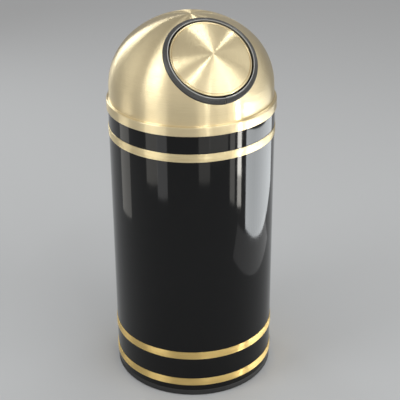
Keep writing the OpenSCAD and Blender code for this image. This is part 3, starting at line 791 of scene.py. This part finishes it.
def make_springs():
    """A torsion spring: a leg on the bracket's strap, coils about the pin, and a leg behind the door."""
    wire = SPRING_WIRE_D / 2
    # the moving leg leaves the coils tangent, and its end bears on the leaf
    pin_u, pin_w = door_uv(PIN)
    leaf_in = DOOR_BALL_R - DOOR_T - FILM - BRACKET_T
    rest_w = DOOR_CROWN - DOOR_BALL_R + math.sqrt(leaf_in ** 2 - LEG_REST_U ** 2) - wire - LEG_CLEAR
    reach = math.hypot(LEG_REST_U - pin_u, rest_w - pin_w)
    leave = math.atan2(rest_w - pin_w, LEG_REST_U - pin_u) + math.acos(SPRING_R / reach)

    first = SPRING_LEG_ANGLE - math.pi / 2
    last = leave + math.pi / 2 - DOOR_TILT
    sweep = FULL_TURN * (SPRING_TURNS - 1) + (first - last) % FULL_TURN
    half = sweep / FULL_TURN * SPRING_PITCH / 2
    steps = COIL_STEPS * SPRING_TURNS
    coil = []
    for i in range(steps + 1):
        turn = sweep * i / steps
        coil.append(PIN + Vector((-half + SPRING_PITCH * turn / FULL_TURN,
                                  SPRING_R * math.cos(first - turn), SPRING_R * math.sin(first - turn))))

    # the fixed leg runs straight from the coils to the bracket's strap under the crown
    leg = Vector((0, math.cos(SPRING_LEG_ANGLE), math.sin(SPRING_LEG_ANGLE)))
    from_centre = Vector((0, coil[0].y, coil[0].z - CROWN_Z))
    end_r = CROWN_R - DOME_T - FILM - BRACKET_T - wire - WIRE_CLEAR
    along = from_centre.dot(leg)
    length = math.sqrt(along ** 2 - from_centre.length_squared + end_r ** 2) - along
    wound = tube("closing_spring_coils", [coil[0] + leg * length] + coil, wire)
    place(wound, "dome", "spring_steel", "closing_spring")

    x = half + SPRING_WIRE_D + WIRE_CLEAR
    start = (pin_u + SPRING_R * math.cos(leave), pin_w + SPRING_R * math.sin(leave))
    path = [start] + line(start, (LEG_REST_U, rest_w), 3)
    moving = tube("spring_moving_leg", [from_door_uv(x, u, w) for u, w in path], wire)
    place(moving, "door", "spring_steel", "spring_leg")


# ---------- camera ----------

# fitted to the photograph
FRAME_PX = 400
FOCAL_PX = 1100
SENSOR = 36.0
CAMERA_BACK = 12.29 * CAN_R
CAMERA_HEIGHT = 8.447 * CAN_R
DOOR_AZIMUTH = math.radians(21.81)
CAMERA_YAW = math.radians(0.4351)
CAMERA_PITCH = math.radians(26.73)
CAMERA_ROLL = math.radians(-0.3693)
CLIP_START = 0.05
CLIP_END = 50  # beyond the floor's far edge


def seen_from(azimuth, elevation):
    """Direction from the object; azimuth 0 is the camera's side, and it grows to the camera's right."""
    turn = math.radians(azimuth) - DOOR_AZIMUTH
    lift = math.radians(elevation)
    return Vector((math.sin(turn) * math.cos(lift), -math.cos(turn) * math.cos(lift), math.sin(lift)))


def make_camera():
    data = bpy.data.cameras.new("camera")
    data.sensor_width = SENSOR
    data.lens = SENSOR * FOCAL_PX / FRAME_PX
    data.clip_start = CLIP_START
    data.clip_end = CLIP_END
    camera = bpy.data.objects.new("camera", data)
    bpy.context.scene.collection.objects.link(camera)
    heading = CAMERA_YAW + DOOR_AZIMUTH
    forward = Vector((math.sin(heading) * math.cos(CAMERA_PITCH), math.cos(heading) * math.cos(CAMERA_PITCH),
                      -math.sin(CAMERA_PITCH)))
    level = Vector((math.cos(heading), -math.sin(heading), 0))
    upright = level.cross(forward)
    right = math.cos(CAMERA_ROLL) * level + math.sin(CAMERA_ROLL) * upright
    up = math.cos(CAMERA_ROLL) * upright - math.sin(CAMERA_ROLL) * level
    seat = Vector((-CAMERA_BACK * math.sin(DOOR_AZIMUTH), -CAMERA_BACK * math.cos(DOOR_AZIMUTH),
                   CAMERA_HEIGHT))
    camera.matrix_world = axes_matrix(right, up, -forward, seat)
    bpy.context.scene.camera = camera


# ---------- floor and sky ----------

FLOOR_R = 40
SKY_LOW = 0.98
SKY_HIGH = 0.6
SKY_FOOT = 0.5   # share of SKY_LOW that is left at the horizon
SKY_REAR = 0.42  # share of the front's light that comes from behind


def make_floor():
    rim = arc(0, 0, FLOOR_R, 0, 360, 120)[:-1]
    floor = add_mesh("floor", [(x, y, 0) for x, y in rim], [tuple(range(len(rim)))])
    dress(floor, pale_floor("pale_floor"))


def make_sky():
    """A white sky, weaker overhead, just over the horizon and behind the object."""
    world = bpy.data.worlds.new("studio")
    bpy.context.scene.world = world
    world.use_nodes = True
    w = NodeTree(world.node_tree)
    sky = w.tree.nodes["Background"]
    direction = w.point("Generated")
    rise = w.vector("DOT_PRODUCT", direction, (0, 0, 1))
    front = w.vector("DOT_PRODUCT", direction, tuple(seen_from(0, 0)))
    overhead = w.spread(rise, SKY_LOW, SKY_HIGH, from_low=0.1, from_high=0.9)
    foot = w.spread(rise, SKY_FOOT, 1, from_low=0, from_high=0.14)
    rear = w.spread(front, SKY_REAR, 1, from_low=-0.85, from_high=0.3)
    w.fill(sky, Color=(1, 1, 1, 1), Strength=w.math("MULTIPLY", w.math("MULTIPLY", overhead, foot), rear))


# ---------- lights ----------

WHITE = (1, 1, 1)
WARM = (1.0, 0.97, 0.9)
COOL = (0.94, 0.98, 1.0)
LAMP_AIM = Vector((0, 0, 0.6))
LAMP_DISTANCE = 2.5
CARD_TOP = 0.36
STRIP_LOW_TOP = 0.11  # the right strip is dimmer below this
WALL_RADIANCE = 10.0
WALL_FADE = 0.905     # each card of the glowing wall against the one before it


def area_light(name, width, height, radiance, colour):
    """A rectangle that glows evenly; its power follows from its size and radiance."""
    data = bpy.data.lights.new(name, "AREA")
    data.shape = "RECTANGLE"
    data.size = width
    data.size_y = height
    data.energy = radiance * width * height * math.pi
    data.color = colour
    light = bpy.data.objects.new(name, data)
    bpy.context.scene.collection.objects.link(light)
    light.visible_camera = False
    return light


def soft_box(name, azimuth, elevation, width, height, radiance, lean=0):
    """A box light aimed at the object; lean tips its top toward greater azimuth."""
    light = area_light(name, width, height, radiance, COOL)
    away = seen_from(azimuth, elevation)
    light.location = LAMP_AIM + away * LAMP_DISTANCE
    upright = away.to_track_quat("Z", "Y")
    light.rotation_euler = (upright @ Quaternion((0, 0, 1), math.radians(-lean))).to_euler()


def on_plan(point):
    """A place on the floor, given as (to the camera's right, toward the camera)."""
    return seen_from(90, 0) * point[0] + seen_from(0, 0) * point[1]


def standing_card(name, start, end, radiance, colour, low=0.0, high=CARD_TOP):
    """An upright card between two places on the floor, which only shows in reflections."""
    first, last = on_plan(start), on_plan(end)
    light = area_light(name, (last - first).length, high - low, radiance, colour)
    light.visible_diffuse = False
    middle = (first + last) / 2
    light.location = middle + Vector((0, 0, (low + high) / 2))
    normal = (last - first).normalized().cross(Vector((0, 0, 1)))
    if normal.dot(middle) < 0:
        normal = -normal
    light.rotation_euler = normal.to_track_quat("Z", "Y").to_euler()


def lying_card(name, near, far, radiance, colour):
    """A card just over the floor between two opposite corners, which only shows in reflections."""
    light = area_light(name, abs(far[0] - near[0]), abs(far[1] - near[1]), radiance, colour)
    light.visible_diffuse = False
    middle = ((near[0] + far[0]) / 2, (near[1] + far[1]) / 2)
    light.location = on_plan(middle) + Vector((0, 0, 1 * MM))
    light.rotation_euler = (math.pi, 0, -DOOR_AZIMUTH)


def make_soft_boxes():
    soft_box("left_front", -59.5, 41, width=0.95, height=1.2, radiance=3.8)
    soft_box("narrow_high", 20, 57, width=0.13, height=0.7, radiance=15.0, lean=57)
    soft_box("narrow_low", 20, 16, width=0.14, height=1.0, radiance=5.0)
    soft_box("right_front", 55, 42, width=1.4, height=1.4, radiance=2.2)
    soft_box("left_side", -106, 28, width=1.3, height=1.1, radiance=0.4)
    soft_box("right_side", 112, 32, width=1.2, height=1.1, radiance=0.7)
    soft_box("left_rear", -145, 20, width=0.6, height=1.2, radiance=3.3)
    soft_box("right_rear", 140, 40, width=0.12, height=0.9, radiance=8.5, lean=-36)
    soft_box("rear_high", 159, 66, width=0.55, height=0.9, radiance=4.8, lean=-50)


def make_glowing_wall():
    """A wall to the right that fades away from the camera, in short cards so that no step shows."""
    corners = [(0.915, 0.29), (0.868, 0.06), (0.82, -0.25), (0.81, -0.52), (0.8, -0.8)]
    feet = [corners[0]]
    for corner in corners[1:]:
        feet += line(feet[-1], corner, 4)
    for i, (start, end) in enumerate(zip(feet, feet[1:])):
        standing_card(f"right_wall_{i}", start, end, WALL_RADIANCE * WALL_FADE ** i, COOL)


def make_cards():
    strip = ((0.98, 0.57), (1.025, 0.46))
    standing_card("right_strip_low", *strip, 9.0, WARM, high=STRIP_LOW_TOP)
    standing_card("right_strip", *strip, 22.0, WARM, low=STRIP_LOW_TOP)
    standing_card("right_dim", (0.9, 0.78), (0.96, 0.65), 2.3, WARM)
    standing_card("left_strip", (-0.97, -0.3), (-1.0, 0.04), 1.2, WARM)
    standing_card("left_panel", (-1.157, 0.635), (-0.939, 0.936), 1.6, WARM)
    standing_card("left_middle", (-0.871, 0.865), (-0.648, 1.046), 1.4, WHITE)
    standing_card("front_near", (0.197, 1.354), (0.524, 1.255), 1.0, WARM)
    standing_card("front_far", (0.6, 1.46), (1.146, 1.06), 1.1, WARM)
    lying_card("right_floor", (0.64, -0.41), (0.88, 0.5), 0.5, WHITE)


# ---------- the whole ----------

dress_cad_nodes()
make_wall()
for band_node in ("upper_band", "middle_band", "lower_band"):
    make_band(band_node)
make_base_ring()
make_dome()
make_edging()
make_rivets()
make_door()
make_springs()
make_floor()
make_sky()
make_camera()
make_soft_boxes()
make_glowing_wall()
make_cards()
bpy.context.scene.view_settings.view_transform = "Standard"
